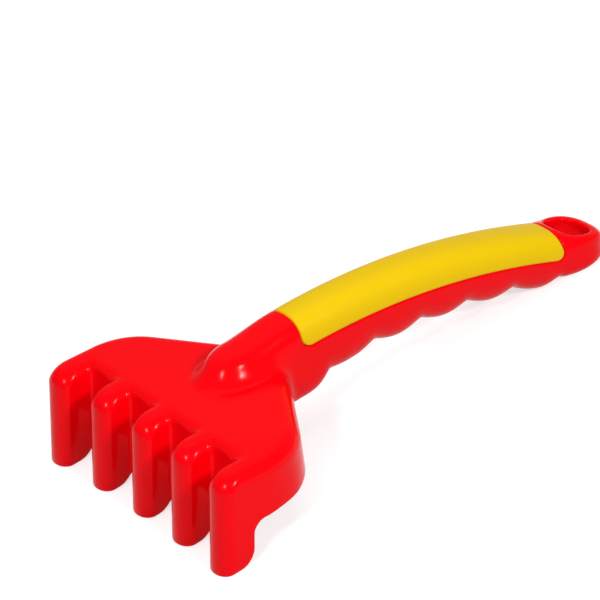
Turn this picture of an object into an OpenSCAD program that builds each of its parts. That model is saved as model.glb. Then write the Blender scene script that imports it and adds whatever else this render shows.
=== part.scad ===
// Toy sand rake: a moulded body with five hollow tines, and a grip cover pressed into its handle.
// It stands on its tine tips and on the underside of its eyelet, tines towards +X, floor at Z = 0.
// Inside the file a place is given as a run back from the middle tine's front, a side and a rise over the plate.

/* [Tines] */
// Distance between neighbouring tines, middle to middle
tine_pitch = 24; // [18:0.5:30]
// Width of a tine
tine_w = 11.7; // [8:0.1:16]
// Depth of the rounding at the front of a tine
tine_nose = 4.2; // [2:0.2:6]
// Extra depth of that rounding half-way up the domed top of a tine
tine_dome = 3; // [0:0.2:4]
// Depth of a tine's side walls below the skirt
tine_depth = 10.6; // [8:0.2:14]
// Drop from the plate's top to the tine tips
tine_drop = 36.8; // [25:0.2:50]
// Lean of the tines forward from the plate's normal, in degrees
tine_lean = 8.5; // [0:0.5:15]
// Run of the outer tines ahead of the middle one
tine_ahead = 1.8; // [0:0.1:4]
// Rounding of the tips' rear corners
tip_round = 5; // [1:0.5:6]
// Run from the start of the rounded gap end to the tines' rear edges
gap_lead = 1.6; // [1:0.1:2]
// Depth of the rounded gap end
gap_len = 2.2; // [2:0.1:4]

/* [Head] */
// Rounding of the plate's upper edge
edge_round = 5.6; // [3:0.1:8]
// Wall of the body moulding
wall = 2.2; // [1.6:0.1:3]
// Drop from the plate's top to the skirt's lower edge beside the outer tines
skirt_drop = 21; // [14:0.5:26]
// Rise of the skirt's lower edge towards the neck, in degrees
skirt_rise = 6.5; // [0:0.1:10]
// Rounding between a tine's rear edge and the skirt's lower edge
skirt_round = 5; // [2:0.5:8]
// Run from the tine front to the end of the straight side
side_run = 17.7; // [14:0.1:24]
// Radius of the rounded shoulder
shoulder_r = 24; // [12:0.5:30]
// Angle of the head's rear edge to the handle, in degrees
shoulder_angle = 59; // [40:1:70]
// Radius of the hollow between head and handle
neck_r = 17; // [6:0.5:20]

/* [Nose] */
// Run from the tine front to the tip of the nose
nose_run = 30; // [22:0.5:36]
// Length of the rounded front of the nose
nose_round = 14; // [8:0.5:18]
// Rise of the nose over the plate behind its rounded front
nose_rise = 9.6; // [8:0.2:14]
// Width of the flare round the foot of the nose
nose_flare = 3.4; // [1:0.1:6]

/* [Handle] */
// Run from the tine front to the front end of the grip cover
grip_run = 65.4; // [58:0.1:72]
// Length of the grip cover
grip_len = 116.3; // [90:0.1:130]
// Rise of the cover's lower edge over the plate at its front end
grip_rise = 1.3; // [0:0.1:4]
// Fall of the cover's lower edge from its front end to its rear end
grip_fall = 16.4; // [8:0.2:24]
// Bow of the cover's lower edge over the straight line between its ends
grip_bow = 6.3; // [2:0.1:10]
// Width of the handle at the front end of the cover
grip_w_front = 20; // [18:0.2:26]
// Width of the handle at the rear end of the cover
grip_w_rear = 23.2; // [18:0.2:30]
// Height of the cover's arch at its front end
arch_front = 10.9; // [8:0.1:14]
// Height of the cover's arch at its rear end
arch_rear = 9.9; // [7:0.1:12]
// Depth of the handle below the cover's edge at the neck
keel_neck = 20.9; // [16:0.1:24]
// Depth of the handle below the cover's edge at the front end of the waves
keel_front = 17.6; // [12:0.2:22]
// Depth of the handle below the cover's edge at the rear end of the waves
keel_rear = 12.5; // [8:0.2:16]
// Depth of the handle below the cover's edge in the valley before the eyelet
keel_end = 8; // [4:0.2:10]
// Run from the tine front to the first valley of the finger waves
wave_run = 76.7; // [72:0.1:84]
// Length of one finger wave
wave_len = 20.65; // [16:0.05:24]
// Number of finger waves
waves = 5; // [3:1:6]
// Depth of the valleys between the finger waves
wave_depth = 3; // [0.5:0.1:5]

/* [Eyelet] */
// Run from the tine front to the end of the eyelet
eye_run = 203.3; // [195:0.1:215]
// Radius of the eyelet's rounded end in plan
eye_r = 12.2; // [9:0.1:14]
// Height of the eyelet at its end
eye_h = 9.8; // [6:0.1:12]
// Drop from the plate's top to the eyelet's underside at its end
eye_drop = 22.2; // [16:0.1:28]
// Length of the hanging hole
hole_len = 15.2; // [10:0.1:18]
// Width of the hanging hole
hole_w = 16.4; // [10:0.1:18]

/* [Cover fit] */
// Wall of the grip cover
cover_wall = 2; // [1.2:0.1:3]
// Gap between the cover's ends and the body
cover_gap = 0.2; // [0.1:0.05:0.5]
// Rounding of the cover's lower corners seen from the side
cover_corner = 4; // [1:0.5:6]
// Depth of the cover's inner lip below its edge
lip_depth = 3; // [1.5:0.5:5]
// Wall of the cover's inner lip
lip_wall = 1.4; // [1:0.1:2]
// Distance of the inner lip from the cover's ends
lip_inset = 10; // [6:1:20]

/* [Colours] */
// Colour of the moulded body
body_colour = "red";
// Colour of the grip cover
cover_colour = "gold";

/* [Hidden] */
tines = 5;
side_tines = floor(tines / 2);
tine_half = tine_w / 2;
gap_half = (tine_pitch - tine_w) / 2;
gap_run = tine_depth - gap_lead;
head_half = side_tines * tine_pitch + tine_half;
lean_share = tan(tine_lean);
rise_share = tan(skirt_rise);
// The plate's rounding stops just short of a tine's middle, so that a narrow crest is left on it.
crest_share = 0.96;
crest = tine_half * crest_share;
// Roundness of the handle's arch, of its underside and of its ends, as powers of a super-ellipse.
arch_power = 2.6;
keel_power = 3;
end_power = 4.5;
hole_power = 2.4;
// Squareness of the gap ends, of the nose's arch, and of the eyelet in plan and in its arch.
gap_power = 3.2;
nose_power = 2.2;
eye_power = 2.5;
eye_arch = 7;
// Rounding at the front of a tine's dome, as a multiple of the edge rounding.
dome_share = 1.2;
// Edge rounding in the middle of a gap end, as a share of the plate's.
gap_share = 0.57;
// Part of the room between a tine's front and what is behind it that either may take up.
room_share = 0.95;
// Narrowing of the underside in a valley, as a share of its width.
valley_share = 0.06;
// Softness of a valley's bottom, as a share of its depth.
soft_share = 0.12;
// Depth of the first valley, as a share of the others.
first_share = 0.5;
// Fall of the eyelet's middle line behind the cover, as a share of its length.
eye_fall_share = 0.08;
// Depth that the floor cuts off the rounded underside of the eyelet, as a share of its depth.
foot_share = 0.15;
// Half-width of the flat at the end of the eyelet, as a share of its radius.
end_share = 0.08;
// Part of the flare's width that it climbs up the side of the nose.
flare_share = 0.7;
// Depth of the cover's lip at its corners, as a share of its full depth.
bead_share = 0.15;

grip_end = grip_run + grip_len;
wave_end = wave_run + waves * wave_len;
tip_run = -tine_ahead - lean_share * tine_drop;
floor_tilt = atan((tine_drop - eye_drop) / (eye_run - tip_run));
floor_share = tan(floor_tilt);
neck_half = (grip_w_front - cover_gap) / 2;
bulk_start = grip_run - wall;
rim = (2 * eye_r - hole_w) / 2;

front_steps = 5;
gap_steps = 4;
arc_steps = 8;
edge_steps = 4;
section_steps = 7;
wave_steps = 6;
hole_steps = 32;
nose_steps = 6;
corner_steps = 4;
window_steps = 23;

function sq(v) = v * v;
function clamp(v, low, high) = max(low, min(high, v));
function mix(a, b, s) = a + (b - a) * s;
function reverse(v) = [for (k = [len(v) - 1:-1:0]) v[k]];
function mirrored(v) = [for (p = v) [p[0], -p[1], p[2], p[3]]];
// Soft step from 0 to 1.
function smooth(e) = let(c = clamp(e, 0, 1)) c * c * (3 - 2 * c);
// Drop of a quarter round of radius r at a distance e in from its edge.
function quarter(r, e) = r - sqrt(max(0, sq(r) - sq(r - clamp(e, 0, r))));
// Height of the floor in the plate's frame, and the depth at which a leaning wall meets it.
function floor_z(u) = -tine_drop + floor_share * (u - tip_run);
function floor_depth(u) = (tine_drop - floor_share * (u - tip_run)) / (1 - floor_share * lean_share);

// A place on a wall of the head: the tines lean in full, and the lean fades out behind the straight side.
function lean_at(u) = lean_share * clamp((side_run + tine_depth - u) / tine_depth, 0, 1);
function leaned(u, y, depth) = [lean_at(u) * depth - u, y, -depth];

// Plan outline of the head: tine fronts, gap ends, and the outer sides with the neck. It is inset by d, which
// starts at base: zero outside and the wall inside. Each point has its run and side, its share of the edge
// rounding, and the run that its lower edge goes by.
function tine_front(i) = -tine_ahead * sq(i / side_tines);
function front_start(i, d, base) = tine_front(i) + (base > 0 ? 1 : dome_share) * d;
function front_len(d, base) = min(room_share * (gap_run - front_start(0, d, base)),
    tine_nose * (tine_half - d) / tine_half
    + (base > 0 ? 0 : tine_dome * sin(2 * acos(clamp(1 - d / edge_round, 0, 1)))));
function tine_arc(i, d, base) = [for (k = [-front_steps:front_steps])
    let(a = 90 * k / front_steps, u = front_start(i, d, base) + front_len(d, base) * (1 - cos(a)))
    [u, i * tine_pitch + (tine_half - d) * sin(a), 1, u]];
gap_root = 2 / gap_power;
gap_edge = asin(pow(gap_lead / gap_len, 1 / gap_root));
gap_past = gap_edge * (1 + 1 / gap_steps);
gap_angles = concat(
    [for (k = [0:gap_steps]) gap_edge * k / gap_steps],
    [for (k = [0:gap_steps]) mix(gap_past, 180 - gap_past, k / gap_steps)],
    [for (k = [gap_steps:-1:0]) 180 - gap_edge * k / gap_steps]);
function gap_width(a) = gap_half * pow(abs(cos(a)), gap_root);
function gap_arc(i, d, base) = [for (a = gap_angles) let(
        part = 1 - (1 - gap_share) * sq(sin(a)), e = mix(base, d, part), along = pow(sin(a), gap_root),
        across = sign(cos(a)) * pow(abs(cos(a)), gap_root), run = gap_run + gap_len * along)
    [gap_run + (gap_len + e) * along, (i + 1 / 2) * tine_pitch - (gap_half + e) * across, part,
        run + (run > tine_depth ? gap_width(gap_edge) - gap_width(a) : 0)]];
rear_shares = [-1, -0.75, -0.5, -0.25, 0];
skirt_shares = [0.08, 0.25, 0.5, 1];
function side_room(d, base) = min(tip_round,
    room_share * (tine_depth - front_start(side_tines, d, base) - front_len(d, base)));
shoulder_len = (head_half - neck_half - (shoulder_r + neck_r) * (1 - cos(shoulder_angle))) / sin(shoulder_angle);
neck_run = side_run + (shoulder_r + neck_r) * sin(shoulder_angle) + shoulder_len * cos(shoulder_angle);
neck_end = neck_run + edge_round + wall;
function plain(u, y) = [u, y, 1, u];
function side_line(d, base) = concat(
    [for (s = rear_shares) [tine_depth + s * side_room(d, base), head_half - d, 1, tine_depth + s * tip_round]],
    [for (s = skirt_shares) plain(tine_depth + s * skirt_round, head_half - d)],
    [for (k = [0:arc_steps]) let(a = shoulder_angle * k / arc_steps)
        plain(side_run + (shoulder_r - d) * sin(a), head_half - shoulder_r + (shoulder_r - d) * cos(a))],
    [for (k = [arc_steps:-1:0]) let(a = shoulder_angle * k / arc_steps)
        plain(neck_run - (neck_r + d) * sin(a), neck_half + neck_r - (neck_r + d) * cos(a))],
    [plain(neck_end - d, neck_half - d)]);
function outline(d, base) = let(side = side_line(d, base)) concat(
    reverse(mirrored(side)),
    [for (i = [-side_tines:side_tines]) each
        concat(tine_arc(i, d, base), i < side_tines ? gap_arc(i, d, base) : [])],
    side);

// Depth of the body's lower edge at a place u under the outline's place v: tip, rear edge, then skirt.
function edge_depth(u, v) = v <= tine_depth
    ? floor_depth(u) - quarter(tip_round, tine_depth - v)
    : skirt_drop + quarter(skirt_round, v - tine_depth) - rise_share * max(0, v - side_run);

// Rings of the head, from the underside of the plate down inside its walls and up outside to its top.
base_line = outline(0, 0);
function wall_ring(base, share) = let(line = outline(base, base)) [for (k = [0:len(line) - 1])
    let(p = line[k]) leaned(p[0], p[1], mix(mix(base, edge_round, p[2]), edge_depth(p[0], base_line[k][3]), share))];
function edge_ring(d, base) = [for (p = outline(d, base))
    leaned(p[0], p[1], base + p[2] * quarter(edge_round - base, d - base))];
head_rings = concat(
    [for (k = [edge_steps:-1:1]) edge_ring(mix(wall, crest, sq(k / edge_steps)), wall)],
    [wall_ring(wall, 0), wall_ring(wall, 1), wall_ring(0, 1), wall_ring(0, 0)],
    [for (k = [1:edge_steps]) edge_ring(crest * sq(k / edge_steps), 0)]);

// Closed solid through rings of equal length. Its ends are flat faces, or strips across a thin bent section.
module rings(list, strip = false) {
    n = len(list[0]);
    m = len(list);
    last = (m - 1) * n;
    polyhedron(
        points = [for (ring = list) each ring],
        faces = concat(
            [for (r = [0:m - 2], k = [0:n - 1]) let(l = (k + 1) % n) each [
                [r * n + k, (r + 1) * n + l, r * n + l], [r * n + k, (r + 1) * n + k, (r + 1) * n + l]]],
            strip ? [for (k = [0:n / 2 - 2]) let(a = n - 1 - k) each [
                [k, k + 1, a - 1, a], [last + a, last + a - 1, last + k + 1, last + k]]]
            : [[for (k = [0:n - 1]) k], [for (k = [n - 1:-1:0]) last + k]]),
        convexity = 2 * tines);
}

// Convex solids between neighbouring rings of a list.
module loft(list) for (k = [0:len(list) - 2]) hull() rings([list[k], list[k + 1]]);

// Handle: middle line, half-width in plan, arch over it and keel under it.
function grip_share(u) = (u - grip_run) / grip_len;
function mid_z(u) = let(s = grip_share(u)) u <= grip_end
    ? grip_rise - grip_fall * s + 4 * grip_bow * s * (1 - s)
    : grip_rise - grip_fall - eye_fall_share * (u - grip_end);
eye_mid = eye_run - eye_r;
end_half = eye_r * end_share;
function plan_half(u) = u <= grip_end ? mix(grip_w_front, grip_w_rear, max(0, grip_share(u))) / 2
    : u <= eye_mid ? mix(grip_w_rear / 2, eye_r, (u - grip_end) / (eye_mid - grip_end))
    : max(end_half, eye_r * pow(max(0, 1 - pow((u - eye_mid) / eye_r, eye_power)), 1 / eye_power));
eye_top = floor_z(eye_run) + eye_h;
function arch_at(u) = u <= grip_end ? mix(arch_front, arch_rear, max(0, grip_share(u)))
    : mix(mid_z(grip_end) + arch_rear, eye_top, (u - grip_end) / (eye_run - grip_end)) - mid_z(u);
function wave_at(u) = (u - wave_run) / wave_len;
function valley(s) = 1 - sqrt(sq(sin(180 * s)) + sq(soft_share)) / sqrt(1 + sq(soft_share));
function keel_at(u) = let(s = wave_at(u), flat = (1 + foot_share) * (mid_z(u) - floor_z(u)))
    s <= 0 ? let(v = s < -1 / 2 ? 0 : valley(s))
        mix(keel_neck, keel_front, sq(v / valley(0))) - wave_depth * first_share * v
    : s >= waves ? mix(keel_rear - (keel_rear - keel_end) * valley(0), flat, min(1, 2 * (s - waves)))
    : mix(keel_front, keel_rear, s / waves) - valley(s) * (
        s < 1 / 2 ? wave_depth * first_share : s > waves - 1 / 2 ? keel_rear - keel_end : wave_depth);
// The arch grows boxier behind the cover, and the underside is boxier at the neck and at the eyelet than along the waves.
function arch_power_at(u) = mix(arch_power, eye_arch, smooth((u - grip_end) / (eye_run - grip_end)));
function keel_power_at(u) = let(s = wave_at(u))
    mix(keel_power, end_power, clamp(max(1 / 2 - s, s - waves + 1 / 2), 0, 1));

// One closed section of the handle, inset all round.
function section(u, inset) = let(
        w = max(plan_half(u) - inset, 0), h = arch_at(u) - inset, k = keel_at(u) - inset, z = mid_z(u),
        lowest = floor_z(u) + inset)
    [for (j = [0:4 * section_steps - 1]) let(
            a = 90 * j / section_steps, c = cos(a), s = sin(a),
            p = 2 / (s >= 0 ? arch_power_at(u) : keel_power_at(u)),
            narrow = 1 + (s < 0 ? valley_share * valley(wave_at(u)) * s : 0))
        [-u, w * sign(c) * pow(abs(c), p) * narrow, max(lowest, z + (s >= 0 ? h : -k) * pow(abs(s), p))]];
grip_stations = concat([grip_run],
    [for (k = [-2:waves * wave_steps - 1]) wave_run + wave_len * k / wave_steps], [grip_end]);
eye_stations = [for (k = [1:arc_steps]) k <= 2 ? mix(grip_end, eye_mid, k / 2)
    : eye_mid + eye_r * sin(90 * (k - 2) / (arc_steps - 2))];
trough_stations = concat([grip_run + cover_gap], [for (u = grip_stations) if (u > grip_run && u < grip_end) u],
    [grip_end - cover_gap]);
module handle(stations, inset) loft([for (u = stations) section(u, inset)]);

// Lower edge of the cover, with rounded corners at both ends, and its window in the body, larger by the gap.
function corner_rise(u) = quarter(cover_corner, u - grip_run) + quarter(cover_corner, grip_end - u);
function cover_low(u) = mid_z(u) + corner_rise(u);
corner_shares = [for (k = [0:corner_steps]) 1 - cos(90 * k / corner_steps)];
cover_stations = concat(
    [for (s = corner_shares) grip_run + cover_corner * s],
    [for (u = grip_stations) if (u > grip_run + 2 * cover_corner && u < grip_end - 2 * cover_corner) u],
    [for (s = reverse(corner_shares)) grip_end - cover_corner * s]);
handle_top = grip_rise + 2 * arch_front;
window_start = grip_run - cover_gap;
window_end = grip_end + cover_gap;
window_corner = cover_corner + cover_gap;
function window_low(u) = mid_z(u) - cover_gap + quarter(window_corner, u - window_start)
    + quarter(window_corner, window_end - u);
window_runs = concat(
    [for (s = corner_shares) window_start + window_corner * s],
    [for (k = [1:window_steps - 1]) mix(window_start, window_end, k / window_steps)],
    [for (s = reverse(corner_shares)) window_end - window_corner * s]);
module cover_window() rotate([90, 0, 0]) linear_extrude(2 * head_half, center = true)
    polygon(concat([for (u = window_runs) [-u, window_low(u)]], [[-window_end, handle_top], [-window_start, handle_top]]));

// Arch of the cover at an inset, from a rise over the middle line on one side to the other side.
function arch_line(u, inset, rise, steps) = let(
        w = plan_half(u) - inset, h = arch_at(u) - inset, p = 2 / arch_power,
        low = asin(pow(clamp(rise / h, 0, 1), 1 / p)))
    [for (j = [0:steps]) let(a = mix(low, 180 - low, j / steps))
        [-u, w * sign(cos(a)) * pow(abs(cos(a)), p), mid_z(u) + h * pow(sin(a), p)]];
// The inner lip is full between its ends and shrinks to a low bead at the corners.
function lip_at(u) = lip_depth * clamp(
    min((u - grip_run) / lip_inset, (grip_end - u) / lip_inset), bead_share, 1);
lip_out = wall + cover_gap;
lip_in = lip_out + lip_wall;
function lip_points(u) = let(w = plan_half(u), z = cover_low(u)) [
    [-u, w - lip_out, z], [-u, w - lip_out, z - lip_at(u)],
    [-u, w - lip_in, z - lip_at(u)], [-u, w - lip_in, z + lip_wall]];
function cover_section(u) = let(lip = lip_points(u)) concat(
    arch_line(u, 0, corner_rise(u), 2 * (section_steps + len(lip))),
    [for (p = lip) [p[0], -p[1], p[2]]],
    reverse(arch_line(u, cover_wall, corner_rise(u) + 2 * lip_wall, 2 * section_steps)),
    reverse(lip));

// Nose: arched sections that swell from its tip to the handle's first section, inset all round.
nose_full = nose_run + nose_round;
function nose_swell(u) = sqrt(1 - sq(clamp((nose_full - u) / nose_round, 0, 1)));
function nose_share(u) = clamp((u - nose_full) / (bulk_start - nose_full), 0, 1);
function nose_section(u, inset, low) = let(
        w = max(0, nose_swell(u) * grip_w_front / 2 - inset),
        z = nose_share(u) * mid_z(bulk_start),
        h = max(0, nose_swell(u) * mix(nose_rise, arch_at(bulk_start), nose_share(u)) - inset))
    concat([[-u, w, -low]], [for (j = [0:2 * section_steps]) let(
            a = 90 * j / section_steps, p = 2 / mix(nose_power, arch_power, nose_share(u)))
        [-u, w * sign(cos(a)) * pow(abs(cos(a)), p), z + h * pow(sin(a), p)]], [[-u, -w, -low]]);
nose_stations = concat([for (k = [0:nose_steps]) nose_run + nose_round * (1 - cos(90 * k / nose_steps))],
    [(nose_full + bulk_start) / 2]);
// Flare round the foot of the nose, which narrows to less than the nose at the neck.
function flare_section(u) = let(
        f = nose_flare * (1 - nose_share(u)),
        w = nose_swell(u) * (grip_w_front / 2 + f) - nose_share(u) * wall,
        h = nose_swell(u) * f * flare_share, c = max(0, w - f))
    [[-u, w, -wall], [-u, w, 0], [-u, c, h], [-u, -c, h], [-u, -w, 0], [-u, -w, -wall]];
module shifted(d) translate([d, 0, 0]) children();

// Hanging hole in plan.
module hole() translate([-eye_run + rim + hole_len / 2, 0, -tine_drop]) linear_extrude(2 * tine_drop)
    polygon([for (k = [0:hole_steps - 1]) let(a = 360 * k / hole_steps, p = 2 / hole_power)
        [hole_len / 2 * sign(cos(a)) * pow(abs(cos(a)), p), hole_w / 2 * sign(sin(a)) * pow(abs(sin(a)), p)]]);

// The rake as it stands on the floor, middle of its length and width over the origin.
front_x = tine_drop * sin(floor_tilt) - tip_run * cos(floor_tilt);
rear_x = -eye_run * cos(floor_tilt) - eye_top * sin(floor_tilt);
module posed() translate([-(front_x + rear_x) / 2, 0, tip_run * sin(floor_tilt) + tine_drop * cos(floor_tilt)])
    rotate([0, -floor_tilt, 0]) children();

module rake_body() color(body_colour) posed() difference() {
    union() {
        rings(head_rings);
        loft([for (u = concat(nose_stations, [bulk_start])) nose_section(u, 0, wall)]);
        shifted(nose_flare) loft([for (u = concat(nose_stations, [bulk_start])) flare_section(u)]);
        handle(concat([bulk_start], grip_stations, eye_stations), 0);
    }
    shifted(-wall) loft([for (u = concat(nose_stations, [bulk_start - wall])) nose_section(u, wall, edge_round)]);
    handle(trough_stations, wall);
    cover_window();
    hole();
}

module grip_cover() color(cover_colour) posed() rings([for (u = reverse(cover_stations)) cover_section(u)], strip = true);

rake_body();
grip_cover();
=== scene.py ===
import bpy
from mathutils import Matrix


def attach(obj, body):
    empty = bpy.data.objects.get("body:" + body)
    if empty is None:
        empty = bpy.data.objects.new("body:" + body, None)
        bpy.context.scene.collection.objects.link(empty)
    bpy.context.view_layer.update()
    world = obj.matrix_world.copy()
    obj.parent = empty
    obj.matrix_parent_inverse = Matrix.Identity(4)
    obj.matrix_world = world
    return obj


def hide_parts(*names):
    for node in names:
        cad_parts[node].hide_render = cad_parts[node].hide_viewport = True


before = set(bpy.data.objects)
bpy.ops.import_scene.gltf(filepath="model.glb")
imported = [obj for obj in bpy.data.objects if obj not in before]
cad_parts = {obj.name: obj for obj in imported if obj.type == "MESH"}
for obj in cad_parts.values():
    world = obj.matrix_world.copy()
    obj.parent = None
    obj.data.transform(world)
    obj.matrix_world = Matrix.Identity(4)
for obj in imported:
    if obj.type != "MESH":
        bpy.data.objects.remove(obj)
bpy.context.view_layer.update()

import math

import bmesh
import bpy
import numpy as np
from bpy.props import FloatProperty, FloatVectorProperty, IntProperty, PointerProperty
from mathutils import Matrix, Vector
from numpy import concatenate as join

bl_info = {
    "name": "Sand rake",
    "version": (1, 0, 0),
    "blender": (4, 5, 0),
    "location": "3D View > Sidebar > Sand Rake",
    "description": "Toy sand rake: a glossy moulded body and the satin cover pressed into its handle",
    "category": "Object",
}

MM = 0.001

# Steps across the head: wall, rounded edge and half the plate.
WALL, EDGE, PLATE = 10, 12, 50
# Steps along the outline: tine front, gap end, tine's rear corner, shoulder, slope and neck.
FRONT, GAP, TIP, SHOULDER, SLOPE, NECK = 18, 26, 8, 17, 21, 39
# Steps round half the handle: the underside, all the rest, and the rest up to the cover's edge.
KEEL, HALF, SEAM = 6, WALL + EDGE + PLATE, 40
# Steps along the handle: before the cover, at a corner of it and between its corners.
COLLAR, CORNER, WINDOW = 4, 8, 95
# Steps at the eyelet: before the hole, beside it, round the end, down the hole and round the hole.
LEAD, FLANK, TURN, HOLE, RING = 2, 15, 40, 10, 360
# Steps round the wall across the handle, and round a free edge.
BULK, RIM = 96, 3
# Points of the dense lines behind even steps: half a section, and the head's wall, edge and plate.
DENSE, DENSE_WALL, DENSE_EDGE, DENSE_PLATE = 260, 40, 60, 240
# Powers that space a section's dense points below and above its middle line.
LOW_POWER, TOP_POWER = 3, 1.5
# Before the neck: where the head's rows stop, have the handle's steps, and take its shape over a run.
STOP, STEPPED, SHAPED, SHAPE_RUN = 0.6 * MM, 14 * MM, 12 * MM, 11 * MM
# A section's lower corner: its angles in degrees at the grip and the eyelet, and the run of the change.
GRIP_CORNER, EYE_CORNER, CORNER_LEAD, CORNER_RUN = -72, -45, 14 * MM, 12 * MM
# Spacing at a gap's end: powers before and past a tine's rear edge, and the first and last step past it.
NEAR_POWER, PAST_POWER, FIRST_STEP, LAST_STEP = 0.8, 2, math.radians(0.5), 0.02
# Width of the strip in which a tine's rear edge goes up to the skirt.
STRIP = 0.05 * MM
# Before the hole: the place of the last plain row, and the next rows as shares of the hole's rounding.
HOLE_LEAD, HOLE_SHARES = 1.2 * MM, np.array([0.9, 0.6, 0.3, 0.1])
# Greatest rise of the line between side and top round the eyelet, as a share of its arch.
SIDE_SHARE = 0.45
# Distances in metres under which points are welded and thin faces are dissolved.
WELD, SLIVER = 2e-6, 1e-7

# Values of the moulded effect for the two plastics.
BODY_EFFECT = {"Clouding": 0.05, "Patchiness": 0.06, "Marks": 0.05, "Grain scale": 2600.0, "Grain": 0.04}
COVER_EFFECT = {"Clouding": 0.04, "Patchiness": 0.08, "Marks": 0.04, "Grain scale": 2200.0, "Grain": 0.25}
# Scale and detail of the effect's noises, then the turn, stretch and range of its marks.
CLOUD, PATCH, SINK, MARK, GRAIN_DETAIL = (45.0, 3.0), (260.0, 4.0), (70.0, 1.0), (1.0, 2.0), 2.0
MARK_TURN, MARK_STRETCH, MARK_RANGE = (0.1, 0.2, 0.5), (60, 1900, 1900), (0.16, 0.26)

# Studio lights: name, direction from the rake, distance, side, power, and whether gloss mirrors them.
STUDIO = (
    ("right_box", (-0.06, 0.81, 0.607), 1.3, 0.15, 7.8, True),
    ("left_box", (0.63, 0.38, 0.68), 1.3, 0.13, 4.5, True),
    ("top_box", (-0.15, -0.3, 1.0), 1.5, 1.4, 8.2, False),
)
LIGHT_AIM = (0, 0, 30 * MM)


def length(name, description, millimetres):
    """A size in metres, given here in millimetres."""
    return FloatProperty(name=name, description=description, default=millimetres * MM, unit="LENGTH",
                         precision=5)


def angle(name, description, degrees):
    """An angle in radians, given here in degrees."""
    return FloatProperty(name=name, description=description, default=math.radians(degrees), subtype="ANGLE")


def share(name, description, value, low=0.0, high=1.0):
    """A plain share or power."""
    return FloatProperty(name=name, description=description, default=value, min=low, max=high, precision=4)


def colour(name, description, rgb):
    """A colour in linear light."""
    return FloatVectorProperty(name=name, description=description, default=rgb, size=3, min=0, max=1,
                               subtype="COLOR")


class RakeHead(bpy.types.PropertyGroup):
    """Sizes of the head. Runs start at the middle tine's front."""
    tine_pitch: length("Tine pitch", "Distance between neighbouring tines", 24)
    tine_w: length("Tine width", "Width of a tine", 11.7)
    tine_nose: length("Tine front", "Depth of a tine's rounded front", 4.2)
    tine_dome: length("Tine dome", "Extra depth of that front half-way up the dome", 3)
    dome_share: share("Dome front", "Inset of the dome's front as a multiple of the edge's", 1.2, 1, 2)
    tine_depth: length("Tine depth", "Depth of a tine's side walls below the skirt", 10.6)
    tine_drop: length("Tine drop", "Drop from the plate's top to the tine tips", 36.8)
    tine_lean: angle("Tine lean", "Lean of the tines forward from the plate's normal", 8.5)
    tine_ahead: length("Outer lead", "Run of the outer tines ahead of the middle one", 1.8)
    tip_round: length("Tip rounding", "Rounding of the tips' rear corners", 5)
    gap_lead: length("Gap lead", "Run from a gap's rounded end to the tines' rear edges", 1.6)
    gap_len: length("Gap end", "Depth of the rounded gap end", 2.2)
    gap_power: share("Gap power", "Squareness of the rounded gap end", 3.2, 1, 8)
    gap_share: share("Gap rounding", "Edge rounding at the gap end as a share of the plate's", 0.57)
    edge_round: length("Edge rounding", "Rounding of the plate's upper edge", 5.6)
    wall: length("Wall", "Wall of the body moulding", 2.0)
    rim_round: length("Rim rounding", "Rounding of the wall's free edges", 0.6)
    skirt_drop: length("Skirt drop", "Drop from the plate's top to the skirt's lower edge", 21)
    skirt_rise: angle("Skirt rise", "Rise of the skirt's lower edge towards the neck", 6.5)
    skirt_round: length("Skirt rounding", "Rounding between a tine's rear edge and the skirt", 5)
    side_run: length("Side run", "Run to the end of the straight side", 17.7)
    shoulder_r: length("Shoulder", "Radius of the rounded shoulder", 24)
    shoulder_angle: angle("Shoulder angle", "Angle of the head's rear edge to the handle", 59)
    neck_r: length("Neck", "Radius of the hollow between head and handle", 17)
    nose_run: length("Nose run", "Run to the tip of the nose", 30)
    nose_round: length("Nose front", "Length of the rounded front of the nose", 14)
    nose_rise: length("Nose rise", "Rise of the nose over the plate", 9.6)
    nose_flare: length("Nose flare", "Width of the flare round the foot of the nose", 3.4)
    nose_power: share("Nose power", "Squareness of the nose's arch at its front", 2.2, 1, 8)
    nose_steep: share("Nose side", "Steepness at which the nose's side turns into its flare", 1.6, 1, 6)
    neck_steep: share("Neck side", "That steepness where the nose meets the handle", 2.3, 1, 6)


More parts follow.
